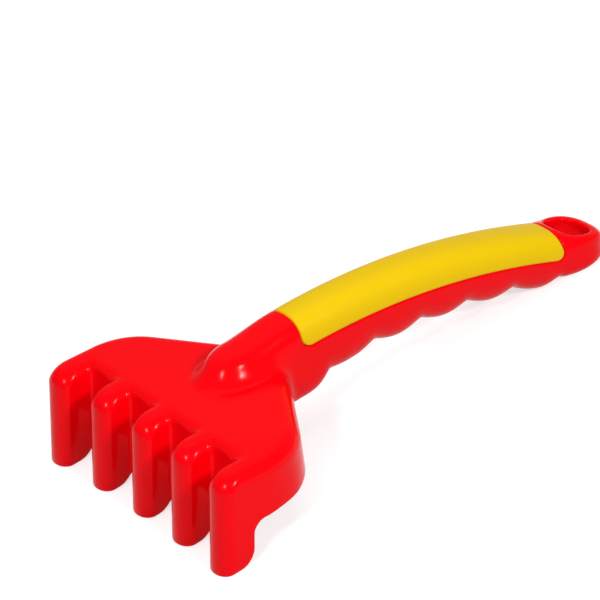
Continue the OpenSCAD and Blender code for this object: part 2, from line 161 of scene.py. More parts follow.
class RakeGrip(bpy.types.PropertyGroup):
    """Sizes of the handle and the cover. Runs start at the middle tine's front."""
    grip_run: length("Cover run", "Run to the front end of the cover", 65.4)
    grip_len: length("Cover length", "Length of the cover", 116.3)
    grip_rise: length("Edge rise", "Rise of the cover's edge over the plate at its front end", 1.3)
    grip_fall: length("Edge fall", "Fall of the cover's edge from its front end to its rear end", 16.4)
    grip_bow: length("Edge bow", "Bow of the cover's edge over the line between its ends", 6.3)
    grip_w_front: length("Front width", "Width of the handle at the cover's front end", 20)
    grip_w_rear: length("Rear width", "Width of the handle at the cover's rear end", 23.2)
    arch_front: length("Front arch", "Height of the cover's arch at its front end", 10.9)
    arch_rear: length("Rear arch", "Height of the cover's arch at its rear end", 9.9)
    bulk_lead: length("Front wall", "Run from the wall across the handle's front end to the cover", 2.2)
    rear_fall: share("Rear fall", "Fall of the middle line behind the cover as a share of its run", 0.08)
    keel_neck: length("Neck keel", "Depth of the handle at the neck", 20.9)
    keel_front: length("Front keel", "Depth of the handle where the waves start", 17.6)
    keel_rear: length("Rear keel", "Depth of the handle where the waves end", 12.5)
    keel_end: length("End keel", "Depth of the handle in the valley before the eyelet", 8)
    wave_run: length("Wave run", "Run to the first valley of the finger waves", 76.7)
    wave_len: length("Wave length", "Length of one finger wave", 20.65)
    waves: IntProperty(name="Waves", description="Number of finger waves", default=5)
    wave_depth: length("Wave depth", "Depth of the valleys between waves", 3)
    wave_soft: share("Wave softness", "Softness of the valleys' bottoms", 0.12)
    wave_pinch: share("Wave pinch", "Narrowing of the underside in the valleys", 0.06)
    eye_run: length("Eyelet run", "Run to the end of the eyelet", 203.3)
    eye_r: length("Eyelet radius", "Radius of the eyelet's rounded end in plan", 12.2)
    eye_power: share("Eyelet power", "Squareness of the eyelet's end in plan", 2.5, 1, 8)
    eye_arch: share("Eyelet arch", "Squareness of the eyelet's arch at its end", 7, 1, 12)
    eye_h: length("Eyelet height", "Height of the eyelet at its end", 9.8)
    eye_drop: length("Eyelet drop", "Drop from the plate's top to the eyelet's underside", 22.2)
    foot_share: share("Foot", "Depth at the eyelet as a multiple of the distance to the floor", 1.15, 1, 2)
    eye_thin: share("Eyelet wall", "Wall at the eyelet as a share of the body's", 0.5)
    eye_fade: length("Eyelet fade", "Run behind the cover over which the wall gets thinner", 6)
    hole_len: length("Hole length", "Length of the hanging hole", 15.2)
    hole_w: length("Hole width", "Width of the hanging hole", 16.4)
    hole_round: length("Hole rounding", "Rounding of the hanging hole's edges", 1.0)
    cover_wall: length("Cover wall", "Wall of the cover", 2)
    cover_gap: length("Cover gap", "Gap between the cover and the body", 0.2)
    cover_corner: length("Cover corner", "Rounding of the cover's lower corners", 4)
    cover_round: length("Cover edge", "Rounding of the cover's edge", 0.8)
    arch_power: share("Arch power", "Squareness of the handle's arch", 2.6, 1, 8)
    keel_power: share("Keel power", "Squareness of the handle's underside", 3, 1, 8)
    end_power: share("End power", "Squareness of the underside at the handle's ends", 4.5, 1, 12)
    hole_power: share("Hole power", "Squareness of the hanging hole", 2.4, 1, 8)


def quarter(r, e):
    """Drop of a quarter round of radius r at a distance e in from its edge."""
    return r - np.sqrt(np.maximum(0, r * r - (r - np.clip(e, 0, r)) ** 2))


def mix(a, b, s):
    """Straight mix of a and b."""
    return a + (b - a) * s


def smooth(e):
    """Soft step from 0 to 1: three squares less two cubes."""
    e = np.clip(e, 0, 1)
    return e * e * (3 - 2 * e)


def arc_run(*parts):
    """Distance along each row of points from its first one, from their coordinates."""
    steps = np.sqrt(sum(np.diff(part) ** 2 for part in parts))
    return join([np.zeros((len(steps), 1)), np.cumsum(steps, 1)], 1)


def at_run(where, run, part):
    """Values of each row of part at places along its run."""
    return np.array([np.interp(a, b, c) for a, b, c in zip(where, run, part)])


class RakeForm:
    """The rake's lines in the plate's frame: run u back from the middle tine's front, side y and rise z."""

    def __init__(self, head, grip):
        self.head, self.grip = h, g = head, grip
        self.lean = math.tan(h.tine_lean)
        self.tine_half = h.tine_w / 2
        self.gap_half = (h.tine_pitch - h.tine_w) / 2
        self.head_half = 2 * h.tine_pitch + self.tine_half
        self.gap_run = h.tine_depth - h.gap_lead
        self.tip_run = -h.tine_ahead - self.lean * h.tine_drop
        self.floor_share = (h.tine_drop - g.eye_drop) / (g.eye_run - self.tip_run)
        self.grip_end = g.grip_run + g.grip_len
        self.neck_half = (g.grip_w_front - g.cover_gap) / 2
        self.bulk_start = g.grip_run - g.bulk_lead
        turn, radii = h.shoulder_angle, h.shoulder_r + h.neck_r
        slope = (self.head_half - self.neck_half - radii * (1 - math.cos(turn))) / math.sin(turn)
        self.neck_run = h.side_run + radii * math.sin(turn) + slope * math.cos(turn)
        self.eye_mid = g.eye_run - g.eye_r
        self.eye_top = self.floor_z(g.eye_run) + g.eye_h
        self.hole_mid = g.eye_run - (g.eye_r - g.hole_w / 2) - g.hole_len / 2

    def place(self, u, y, z):
        """Points of the plate's frame, turned by the floor's tilt and moved to stand on the floor."""
        tilt = math.atan(self.floor_share)
        c, s = math.cos(tilt), math.sin(tilt)
        front = self.head.tine_drop * s - self.tip_run * c
        rear = -self.grip.eye_run * c - self.eye_top * s
        lift = self.tip_run * s + self.head.tine_drop * c
        u, y, z = np.broadcast_arrays(u, y, z)
        return np.stack([-u * c - z * s - (front + rear) / 2, y, -u * s + z * c + lift], -1)

    def floor_z(self, u):
        """Height of the floor: a straight line from the tine tips to the eyelet."""
        return -self.head.tine_drop + self.floor_share * (u - self.tip_run)

    def lean_at(self, u):
        """Lean of the walls: full at the tines, fading out over a tine's depth behind the straight side."""
        h = self.head
        return self.lean * smooth((h.side_run + h.tine_depth - u) / h.tine_depth)

    def edge_depth(self, u, v):
        """Depth of the lower edge under the outline's place v, less the rounding of its rim.

        At the tines it is the floor less a quarter round, and behind them the rising skirt.
        """
        h = self.head
        floor = (h.tine_drop - self.floor_share * (u - self.tip_run)) / (1 - self.floor_share * self.lean)
        tip = floor - quarter(h.tip_round, h.tine_depth - v)
        skirt = (h.skirt_drop + quarter(h.skirt_round, v - h.tine_depth)
                 - math.tan(h.skirt_rise) * np.maximum(0, v - h.side_run))
        return np.where(v <= h.tine_depth, tip, skirt) - h.rim_round

    def tine_arc(self, i, d):
        """Half an ellipse round the front of tine i, inset by each d.

        The ellipse gets deeper by the dome's depth times the sine of twice the angle up the rounded edge.
        """
        h = self.head
        a = np.linspace(-math.pi / 2, math.pi / 2, FRONT + 1)[:, None]
        half = self.tine_half - d
        up = np.arccos(np.clip(1 - d / h.edge_round, 0, 1))
        nose = h.tine_nose * half / self.tine_half + h.tine_dome * np.sin(2 * up)
        u = -h.tine_ahead * (i / 2) ** 2 + h.dome_share * d + nose * (1 - np.cos(a))
        return u, i * h.tine_pitch + half * np.sin(a)

    def gap_arc(self, i, d):
        """Half a super-ellipse round the end of the gap after tine i, dense at the tines' rear edges.

        Gives back run, side, the share of the edge rounding, which falls with the square of the sine, and
        the run for the lower edge, which goes on along the curve behind a tine's rear edge.
        """
        h = self.head
        p = 2 / h.gap_power
        rear = math.asin((h.gap_lead / h.gap_len) ** (1 / p))
        even = np.linspace(0, 1, GAP // 4 + 1)
        past = rear + FIRST_STEP + (math.pi / 2 - rear) * even ** PAST_POWER
        a = join([rear * even ** NEAR_POWER, past[past < math.pi / 2 - LAST_STEP]])
        a = join([a, [math.pi / 2], math.pi - a[::-1]])[:, None]
        sine, cosine = np.abs(np.sin(a)) ** p, np.sign(np.cos(a)) * np.abs(np.cos(a)) ** p
        part = 1 - (1 - h.gap_share) * np.sin(a) ** 2
        u = self.gap_run + (h.gap_len + d * part) * sine
        y = (i + 0.5) * h.tine_pitch - (self.gap_half + d * part) * cosine
        run = self.gap_run + h.gap_len * sine
        turn = self.gap_half * (math.cos(rear) ** p - np.abs(cosine))
        return u, y, part, np.where(run > h.tine_depth, run + turn, run)

    def rear_lines(self, d):
        """Outline behind the comb, inset by each d: shoulder's arc, straight slope and neck's hollow arc."""
        h = self.head
        a = np.linspace(0, h.shoulder_angle, SHOULDER + 1)[:, None]
        b = np.linspace(h.shoulder_angle, 0, NECK + 1)[:, None]
        f = np.linspace(0, 1, SLOPE + 1)[1:-1, None]
        bulge, hollow = h.shoulder_r - d, h.neck_r + d
        u0, u2 = h.side_run + bulge * np.sin(a), self.neck_run - hollow * np.sin(b)
        y0 = self.head_half - h.shoulder_r + bulge * np.cos(a)
        y2 = self.neck_half + h.neck_r - hollow * np.cos(b)
        return (join([u0, mix(u0[-1:], u2[:1], f), u2]),
                join([y0, mix(y0[-1:], y2[:1], f), y2]))

    def nose(self, u, y):
        """Height of the nose over the plate: a super-ellipse about its spine, with a flared foot."""
        h, g = self.head, self.grip
        full = h.nose_run + h.nose_round
        back = np.clip((u - full) / (g.grip_run - full), 0, 1)
        half = g.grip_w_front / 2
        n = mix(h.nose_power, g.arch_power, smooth(back))
        steep = mix(h.nose_steep, h.neck_steep, smooth(back))
        away = np.hypot(y / half, np.maximum(0, full - u) / h.nose_round)
        z1 = (1 + steep ** n) ** (-1 / n)
        r1 = steep * z1
        r2 = 1 + h.nose_flare / half * (1 - back)
        fall = steep ** (n - 1) * (r2 - r1) / z1
        top = (1 - np.minimum(away, r1) ** n) ** (1 / n)
        foot = z1 * np.clip((r2 - away) / (r2 - r1), 0, 1) ** fall
        return mix(h.nose_rise, g.grip_rise + g.arch_front, back) * np.where(away < r1, top, foot)

    def mid_z(self, u):
        """Middle line of the handle: a parabola along the cover, then a gentle straight fall."""
        g = self.grip
        s = (u - g.grip_run) / g.grip_len
        return np.where(u <= self.grip_end, g.grip_rise - g.grip_fall * s + 4 * g.grip_bow * s * (1 - s),
                        g.grip_rise - g.grip_fall - g.rear_fall * (u - self.grip_end))

    def plan_half(self, u):
        """Half-width of the handle in plan."""
        g = self.grip
        s = np.maximum(0, (u - g.grip_run) / g.grip_len)
        back = np.clip((u - self.grip_end) / (self.eye_mid - self.grip_end), 0, 1)
        return np.where(u <= self.grip_end, mix(g.grip_w_front, g.grip_w_rear, s) / 2,
                        mix(g.grip_w_rear / 2, g.eye_r, back))

    def arch_at(self, u):
        """Height of the arch over the middle line."""
        g = self.grip
        s = np.maximum(0, (u - g.grip_run) / g.grip_len)
        rear = g.grip_rise - g.grip_fall + g.arch_rear
        back = (u - self.grip_end) / (g.eye_run - self.grip_end)
        return np.where(u <= self.grip_end, mix(g.arch_front, g.arch_rear, s),
                        mix(rear, self.eye_top, back) - self.mid_z(u))

    def arch_power_at(self, u):
        """Boxiness of the arch: growing from the cover's rear end to the eyelet's end."""
        g = self.grip
        return mix(g.arch_power, g.eye_arch, smooth((u - self.grip_end) / (g.eye_run - self.grip_end)))

    def wave_at(self, u):
        """Place along the finger waves, counted in waves."""
        return (u - self.grip.wave_run) / self.grip.wave_len

    def valley(self, s):
        """Depth share of a valley: one less the softened size of a sine, and nothing past the end waves."""
        soft = self.grip.wave_soft
        v = 1 - np.sqrt(np.sin(np.pi * s) ** 2 + soft ** 2) / math.sqrt(1 + soft ** 2)
        return np.where((s < -0.5) | (s > self.grip.waves + 0.5), 0, v)

    def keel_at(self, u):
        """Depth of the underside below the middle line: waves between two levels, then the flat foot."""
        g = self.grip
        s = self.wave_at(u)
        flat = g.foot_share * (self.mid_z(u) - self.floor_z(u))
        low = self.valley(np.zeros(1))[0]
        end = g.keel_rear - g.keel_end
        deep = np.where(s < 0.5, g.wave_depth / 2, np.where(s > g.waves - 0.5, end, g.wave_depth))
        along = mix(g.keel_front, g.keel_rear, s / g.waves) - self.valley(s) * deep
        last = mix(g.keel_rear - end * low, flat, np.clip(2 * (s - g.waves), 0, 1))
        neck = mix(g.keel_neck, g.keel_front, (self.valley(s) / low) ** 2) - g.wave_depth / 2 * self.valley(s)
        return np.where(s <= 0, neck, np.where(s >= g.waves, last, along))

    def keel_power_at(self, u):
        """Boxiness of the underside: greater at the neck and at the eyelet than along the waves."""
        g = self.grip
        s = self.wave_at(u)
        return mix(g.keel_power, g.end_power, np.clip(np.maximum(0.5 - s, s - g.waves + 0.5), 0, 1))

    def corner_at(self, u):
        """Angle of the lower corner of a section, where its side ends and its underside begins."""
        back = smooth((u - self.grip_end + CORNER_LEAD) / CORNER_RUN)
        return np.radians(mix(GRIP_CORNER, EYE_CORNER, back))

    def low_point(self, u, w, cosine, sine):
        """Side and height of a point under the middle line: a super-ellipse cut off by the floor."""
        p = 2 / self.keel_power_at(u)
        y = w * cosine ** p * (1 - self.grip.wave_pinch * self.valley(self.wave_at(u)) * sine)
        return y, np.maximum(self.floor_z(u), self.mid_z(u) - self.keel_at(u) * sine ** p)

    def half_sections(self, u, w, rise):
        """Half a section for each u, from its lower corner over the cover's edge to the crown.

        A super-ellipse below the middle line and another above it, in steps that are even on each side of
        the cover's edge. That edge, at a rise over the middle line, always falls on the same step.
        """
        u, w, rise = (np.atleast_1d(v)[:, None] for v in (u, w, rise))
        p = 2 / self.arch_power_at(u)
        t = np.linspace(0, 1, DENSE)
        low = -self.corner_at(u) * (1 - t) ** LOW_POWER
        y0, z0 = self.low_point(u, w, np.cos(low), np.sin(low))
        top = np.pi / 2 * t[1:] ** TOP_POWER
        y1 = w * np.maximum(0, np.cos(top)) ** p
        z1 = self.mid_z(u) + self.arch_at(u) * np.sin(top) ** p
        y, z = join([y0, y1], 1), join([z0, z1], 1)
        run = arc_run(y, z)
        edge = at_run((self.mid_z(u) + rise)[:, 0], z, run)
        steps = [join([np.linspace(0, e, SEAM + 1), np.linspace(e, r[-1], HALF - SEAM + 1)[1:]])
                 for e, r in zip(edge, run)]
        return at_run(steps, run, y), at_run(steps, run, z)


def grid_faces(ids, closed=False):
    """Four-cornered faces between neighbouring rows and columns of an array of vertex numbers."""
    if closed:
        ids = join([ids, ids[:, :1]], 1)
    return np.stack([ids[:-1, :-1], ids[1:, :-1], ids[1:, 1:], ids[:-1, 1:]], -1).reshape(-1, 4)


class Skin:
    """Collects the grids of one sheet, then welds them."""

    def __init__(self):
        self.points, self.faces, self.count = [], [], 0

    def add(self, points):
        """Adds an array of points and gives back their numbers in the same shape."""
        ids = np.arange(points[..., 0].size).reshape(points.shape[:-1]) + self.count
        self.points.append(points.reshape(-1, 3))
        self.count += ids.size
        return ids

    def welded(self):
        """Joins points that lie on each other.

        Gives back points, normals, the corners of all faces in a row, and where each face starts.
        """
        mesh = bpy.data.meshes.new("sheet")
        faces = [row for part in self.faces for row in np.atleast_2d(part).tolist()]
        mesh.from_pydata(join(self.points), [], faces)
        bm = bmesh.new()
        bm.from_mesh(mesh)
        bmesh.ops.remove_doubles(bm, verts=bm.verts, dist=WELD)
        bmesh.ops.dissolve_degenerate(bm, dist=SLIVER, edges=bm.edges)
        bmesh.ops.delete(bm, geom=[v for v in bm.verts if not v.link_faces], context="VERTS")
        bm.to_mesh(mesh)
        bm.free()

        def read(items, name, size, kind):
            """Values of one attribute of all items in a row."""
            values = np.empty(len(items) * size, kind)
            items.foreach_get(name, values)
            return values

        points = read(mesh.vertices, "co", 3, float).reshape(-1, 3)
        normals = read(mesh.vertex_normals, "vector", 3, float).reshape(-1, 3)
        loops = read(mesh.loops, "vertex_index", 1, np.int64)
        starts = read(mesh.polygons, "loop_start", 1, np.int64)
        bpy.data.meshes.remove(mesh)
        return points, normals, loops, starts


def thick_mesh(name, skin, depth, rim, extra=None):
    """An object: a closed wall of a sheet, a copy of it moved in by the depth, and rims between both.

    depth is a function of the points. A rim leaves the outer edge on a quarter circle of radius rim, and its
    inner corner is cut off at half of that. extra is a closed form of the same moulding: its points, the
    corners of its faces, and where each face starts.
    """
    points, normals, loops, starts = skin.welded()
    n = len(points)
    deep = depth(points)[:, None]
    inner = points - normals * deep
    ends = np.append(starts[1:], len(loops))
    follow = np.arange(len(loops)) + 1
    follow[ends - 1] = starts
    a, b = loops, loops[follow]
    lone = ~np.isin(a * n + b, b * n + a)
    a, b = a[lone], b[lone]
    along = np.zeros_like(points)
    way = points[b] - points[a]
    way /= np.linalg.norm(way, axis=1)[:, None]
    np.add.at(along, a, way)
    np.add.at(along, b, way)
    edge = np.unique(join([a, b]))
    out = np.cross(along[edge], normals[edge])
    out /= np.linalg.norm(out, axis=1)[:, None]
    turn = np.linspace(0, math.pi / 2, RIM + 1)[1:]
    rows = [points[edge] + out * rim * math.sin(t) - normals[edge] * rim * (1 - math.cos(t)) for t in turn]
    rows.append(points[edge] + out * rim - normals[edge] * (deep[edge] - rim / 2))
    rows.append(points[edge] + out * rim / 2 - normals[edge] * deep[edge])
    number = np.full(n, -1)
    number[edge] = np.arange(len(edge))
    levels = [np.arange(n)] + [2 * n + k * len(edge) + number for k in range(len(rows))] + [np.arange(n) + n]
    quads = join([np.stack([p[b], p[a], q[a], q[b]], -1) for p, q in zip(levels, levels[1:])])
    back = join([np.arange(e - 1, s - 1, -1) for s, e in zip(starts, ends)])
    all_loops = join([loops, loops[back] + n, quads.ravel()])
    first = join([starts, starts + len(loops), 2 * len(loops) + 4 * np.arange(len(quads))])
    solid = join([points, inner] + rows)
    solid[:, 2] = np.maximum(solid[:, 2], 0)
    if extra:
        more, more_loops, more_starts = extra
        first = join([first, more_starts + len(all_loops)])
        all_loops = join([all_loops, more_loops + len(solid)])
        solid = join([solid, more])
    mesh = bpy.data.meshes.new(name)
    for items, label, values in ((mesh.vertices, "co", solid.astype(np.float32)),
                                 (mesh.loops, "vertex_index", all_loops.astype(np.int32)),
                                 (mesh.polygons, "loop_start", first.astype(np.int32))):
        items.add(len(values))
        items.foreach_set(label, values.ravel())
    mesh.update(calc_edges=True)
    mesh.validate()
    mesh.polygons.foreach_set("use_smooth", np.ones(len(mesh.polygons), bool))
    mesh.update()
    piece = bpy.data.objects.new(name, mesh)
    bpy.context.scene.collection.objects.link(piece)
    return piece


def comb_grid(form):
    """The tines: the leaning walls and the plate's rounded edge carried along the comb's outline.

    Each column follows the outline at one inset. Each row goes from the lower edge straight up the wall,
    and then over a quarter round to the plate's top.
    """
    h = form.head
    turn = np.linspace(0, math.pi / 2, EDGE + 1)
    d = h.edge_round * (1 - np.cos(turn))[None, :]
    d[0, -1] = h.edge_round
    back = h.tip_round * np.linspace(1, 0, TIP + 1)[:, None] ** 2
    skirt = h.tine_depth + STRIP + h.skirt_round * np.linspace(0, 1, TIP + 1) ** 2
    skirt = np.append(skirt, h.side_run)[:, None]
    side_v = join([h.tine_depth - back, skirt])
    room = (h.tine_depth - form.tine_arc(2, d)[0][-1:]) / h.tip_round
    side_u = join([h.tine_depth - back * np.minimum(1, room), skirt + 0 * d])
    side = (side_u, form.head_half - d + 0 * side_v, 1 + 0 * side_v, side_v)
    path = [[side[0][::-1], -side[1][::-1], side[2], side_v[::-1]]]
    f = np.linspace(0, 1, 5)[1:-1, None]
    for i in range(-2, 3):
        front = form.tine_arc(i, d)
        path.append([*front, 1 + 0 * front[0][:, :1], front[0][:, :1]])
        if i < 2:
            gap, after = form.gap_arc(i, d), form.tine_arc(i + 1, d)
            for one, two in ((front, gap), (gap, after)):
                u = mix(one[0][-1:], two[0][:1], f)
                path.append([u, mix(one[1][-1:], two[1][:1], f), 1 + 0 * f, u[:, :1]])
                if two is gap:
                    path.append(gap)
    u, y, part, run = (join(column) for column in zip(*path, side))
    deep = form.edge_depth(u[:, :1], run)
    fall = mix(deep, part * h.edge_round, np.linspace(0, 1, WALL + 1)[None, :-1])
    depth = join([fall, part * h.edge_round * (1 - np.sin(turn))[None]], 1)
    uu = join([np.repeat(u[:, :1], WALL, 1), u], 1)
    yy = join([np.repeat(y[:, :1], WALL, 1), y], 1)
    return uu - form.lean_at(uu) * depth, yy, -depth


def head_rows(form):
    """Half rows of the head behind the comb: up the wall, over the edge, and across the plate and nose.

    Each row starts on the outline, goes in along its normal until the edge's rounding ends, and then
    straight to the middle. Rows near the neck turn step by step into the handle's sections.
    """
    h, g = form.head, form.grip
    turn = np.linspace(0, math.pi / 2, DENSE_EDGE)
    u, y = form.rear_lines(h.edge_round * (1 - np.cos(turn))[None, :])
    keep = u[:, 0] < form.bulk_start - STOP
    u, y = u[keep], y[keep]
    deep = form.edge_depth(u[:, :1], u[:, :1])
    w = np.linspace(0, 1, DENSE_WALL)[None, :-1]
    f = np.linspace(0, 1, DENSE_PLATE)[None, 1:]
    over = np.repeat(h.edge_round * (1 - np.sin(turn))[None], len(u), 0)
    depth = join([mix(deep, h.edge_round, w), over, np.zeros((len(u), f.size))], 1)
    uu = join([np.repeat(u[:, :1], w.size, 1), u, np.repeat(u[:, -1:], f.size, 1)], 1)
    yy = join([np.repeat(y[:, :1], w.size, 1), y, y[:, -1:] * (1 - f)], 1)
    fade = 1 - np.clip((depth - h.edge_round) / (deep - h.edge_round), 0, 1)
    zz = -depth + form.nose(uu, yy) * fade
    uu = uu - form.lean_at(uu) * depth
    run = arc_run(uu, yy, zz)
    b1, b2 = run[0, w.size], run[0, w.size + len(turn) - 1]
    front = join([np.linspace(0, b1, WALL + 1), np.linspace(b1, b2, EDGE + 1)[1:],
                  np.linspace(b2, run[0, -1], PLATE + 1)[1:]]) / run[0, -1]
    u0 = u[:, 0]
    ty, tz = form.half_sections(u0, form.plan_half(u0), np.full(len(u0), g.cover_corner))
    tube = arc_run(ty, tz)
    stepped = smooth((u0 - u0[0]) / (form.bulk_start - STEPPED - u0[0]))[:, None]
    where = mix(front[None, :], tube / tube[:, -1:], stepped) * run[:, -1:]
    turned = smooth((u0 - form.bulk_start + SHAPED) / SHAPE_RUN)[:, None]
    return [mix(at_run(where, run, part), goal, turned)
            for part, goal in ((uu, u0[:, None]), (yy, ty), (zz, tz))]


def window_line(form, off):
    """Runs along the cover's edge moved in by off, and its rise there: a quarter round at each end."""
    g = form.grip
    start, end = g.grip_run + off, form.grip_end - off
    r = g.cover_corner - off
    corner = r * (1 - np.cos(np.linspace(0, math.pi / 2, CORNER + 1)))
    between = np.linspace(start + r, end - r, WINDOW + 1)[1:-1]
    u = join([start + corner, between, end - corner[::-1]])
    return u, off + quarter(r, u - start) + quarter(r, end - u)


def underside(form, u, w, inner):
    """Half an underside from the middle, or from the hole's edge, in even steps out to the lower corner."""
    p = 2 / form.keel_power_at(u)
    t = np.linspace(0, 1, KEEL + 1)[None, :-1]
    cosine = np.clip(mix(inner / w, np.cos(form.corner_at(u)) ** p, t), 0, 1) ** (1 / p)
    return form.low_point(u, w, cosine, np.sqrt(1 - cosine ** 2))


def hole_line(form):
    """Closed outline of the hanging hole in plan."""
    g = form.grip
    a = np.linspace(0, 2 * math.pi, RING + 1)
    p = 2 / g.hole_power
    return (form.hole_mid + g.hole_len / 2 * np.sign(np.cos(a)) * np.abs(np.cos(a)) ** p,
            g.hole_w / 2 * np.sign(np.sin(a)) * np.abs(np.sin(a)) ** p)


def eyelet_rows(form, base, phi, hole):
    """Half rows round the eyelet: underside, side, top to the hole's edge, and the hole's wall.

    A row starts at the run base and goes outwards at the angle phi, 0 to the side and a quarter turn to the
    rear. Top and underside are the handle's super-ellipses with the distance from the middle in place of
    the side, less a quarter round at the hole.
    """
    g = form.grip
    base, phi, hole = base[:, None], phi[:, None], hole[:, None]
    m = g.eye_power
    square = (np.abs(np.sin(phi)) ** m + np.abs(np.cos(phi)) ** m) ** (-1 / m)
    w = np.where(phi > 0, g.eye_r * square, form.plan_half(base))
    out_u = base + w * np.sin(phi)
    rise = np.minimum(g.cover_corner, SIDE_SHARE * form.arch_at(out_u[:, 0]))
    side_r, side_z = (part[:, :SEAM + 1] for part in form.half_sections(out_u[:, 0], w[:, 0], rise))
    t = np.linspace(0, 1, HALF - SEAM + 1)[None, 1:]
    top_r = mix(side_r[:, -1:], hole, t)
    low_r, _ = underside(form, out_u, w, hole)
    lu, lv = hole_line(form)

    def hole_drop(r):
        """Drop of the quarter round at the hole's outline."""
        u, y = base + r * np.sin(phi), r * np.cos(phi)
        return quarter(g.hole_round, np.sqrt(((u[..., None] - lu) ** 2 + (y[..., None] - lv) ** 2).min(-1)))

    def bent(r, n):
        """Height share of a super-ellipse at the distance r."""
        return (1 - np.clip(r / w, 0, 1) ** n) ** (1 / n)

    def top_at(r):
        """Height of the top at the distance r."""
        u = base + r * np.sin(phi)
        return form.mid_z(u) + form.arch_at(u) * bent(r, g.arch_power)

    shift = side_z[:, -1:] - top_at(side_r[:, -1:])
    top_z = top_at(top_r) + shift * (1 - t) - hole_drop(top_r)
    low_u = base + low_r * np.sin(phi)
    low_z = form.mid_z(low_u) - form.keel_at(low_u) * bent(low_r, form.keel_power_at(low_u))
    low_z = np.maximum(form.floor_z(low_u), low_z) + hole_drop(low_r)
    f = np.linspace(0, 1, HOLE + 1)[None, 1:-1]
    wall_z = mix(top_z[:, -1:], low_z[:, :1], f)
    r = join([low_r, side_r, top_r, np.repeat(hole, f.size, 1)], 1)
    z = join([low_z, side_z, top_z, wall_z], 1)
    return base + r * np.sin(phi), r * np.cos(phi), z


def body_skin(form):
    """The body's outside as one sheet, open along its lower rim and round the cover's window."""
    h, g = form.head, form.grip
    skin = Skin()

    def put(rows, side=1, closed=False):
        """Adds rows of points with their faces, mirrored where side is -1, and gives back their numbers."""
        ids = skin.add(form.place(rows[0], side * rows[1], rows[2]))
        skin.faces.append(grid_faces(ids, closed)[:, ::side])
        return ids

    comb, head = comb_grid(form), head_rows(form)
    edge = WALL + EDGE + 1
    for line, row, side in zip(comb, head, (1, -1, 1)):
        line[-1], line[0] = row[0, :edge], side * row[0, :edge]
    front, left, right = put(comb), put(head), put(head, -1)
    skin.faces.append(join([front[:, -1], left[0, edge:], right[0, edge:-1][::-1]]))
    # The neck as a whole tube, and the trough under the cover's window.
    wu, rise = window_line(form, -(g.cover_gap / 2 + h.rim_round))
    nu = np.linspace(form.bulk_start, wu[0], COLLAR + 1)[:-1]
    tu = join([nu, wu])
    half = form.plan_half(tu)
    tube = form.half_sections(tu, half, join([np.full(len(nu), g.cover_corner), rise]))
    low = underside(form, tu[:, None], half[:, None], np.zeros((len(tu), 1)))
    y, z = (join(parts, 1) for parts in zip(low, tube))
    u = np.repeat(tu[:, None], y.shape[1], 1)
    # The eyelet: whole rows before the hole, rows beside the hole, and rows swept round the end.
    tip = form.hole_mid - g.hole_len / 2
    eu = join([np.linspace(wu[-1], tip - HOLE_LEAD, LEAD + 1), tip - g.hole_round * HOLE_SHARES])
    start = ((form.hole_mid - form.eye_mid) / (g.hole_len / 2)) ** (g.hole_power / 2)
    turn = np.linspace(0, math.acos(start), FLANK + 1)
    pu = form.hole_mid - g.hole_len / 2 * np.cos(turn) ** (2 / g.hole_power)
    beside = g.hole_w / 2 * np.sin(turn) ** (2 / g.hole_power)
    sweep = np.linspace(0, math.pi, TURN + 1)
    lu, ly = hole_line(form)
    around = np.arctan2(lu - form.eye_mid, ly) % (2 * math.pi)
    order = np.argsort(around)
    reach = np.interp(sweep, around[order], np.hypot(lu - form.eye_mid, ly)[order], period=2 * math.pi)
    columns = y.shape[1]
    whole = [part[:, :columns] for part in eyelet_rows(form, eu, 0 * eu, 0 * eu)]
    holed = eyelet_rows(form, pu, 0 * pu, beside)
    swept = eyelet_rows(form, np.full(len(sweep), form.eye_mid), sweep, reach)
    for part, first, side in zip(swept, holed, (1, -1, 1)):
        part[0], part[-1] = first[-1], side * first[-1]
    for part, last in zip(whole, (u, y, z)):
        part[0] = last[-1]
    for side in (1, -1):
        ids = skin.add(form.place(u, side * y, z))
        skin.faces.append(grid_faces(ids[:len(nu) + 1])[:, ::side])
        skin.faces.append(grid_faces(ids[len(nu):, :KEEL + SEAM + 1])[:, ::side])
        # The head's last row meets the neck's first one, and the last whole row meets the first holed one.
        put([np.stack([a[-1], b[0, KEEL:]]) for a, b in zip(head, (u, y, z))], side)
        put(whole, side)
        put([np.stack([a[-1], b[0, :columns]]) for a, b in zip(whole, holed)], side)
        put(holed, side, True)
    put(swept, 1, True)
    return skin


def neck_wall(form):
    """A flat wall across the handle's front end: two super-ellipses that end inside the shell's wall."""
    g = form.grip
    a = np.linspace(0, 2 * np.pi, BULK, endpoint=False)
    c, s = np.cos(a), np.sin(a)
    front, rear = form.bulk_start, g.grip_run - g.cover_gap
    rows = []
    for u, off in ((front, 1), (front, 0.5), (rear, 0.5), (rear, 1)):
        off *= form.head.wall
        p = 2 / np.where(s >= 0, g.arch_power, form.keel_power_at(u))
        tall = np.where(s >= 0, form.arch_at(u), form.keel_at(u)) - off
        rows.append(form.place(u, (form.plan_half(u) - off) * np.sign(c) * np.abs(c) ** p,
                               form.mid_z(u) + tall * np.sign(s) * np.abs(s) ** p))
    ids = np.arange(len(rows) * BULK).reshape(len(rows), -1)
    sides = grid_faces(ids, True)
    starts = 4 * np.arange(len(sides) + 1)
    return (join(rows), join([sides.ravel(), ids[0], ids[-1][::-1]]),
            np.append(starts, starts[-1] + BULK))


def cover_skin(form):
    """Outside of the cover: the handle's arches between its two edges."""
    g = form.grip
    u, rise = window_line(form, g.cover_gap / 2 + g.cover_round)
    y, z = form.half_sections(u, form.plan_half(u), rise)
    y, z = y[:, SEAM:], z[:, SEAM:]
    y = join([y, -y[:, -2::-1]], 1)
    z = join([z, z[:, -2::-1]], 1)
    skin = Skin()
    skin.faces.append(grid_faces(skin.add(form.place(np.repeat(u[:, None], y.shape[1], 1), y, z))))
    return skin


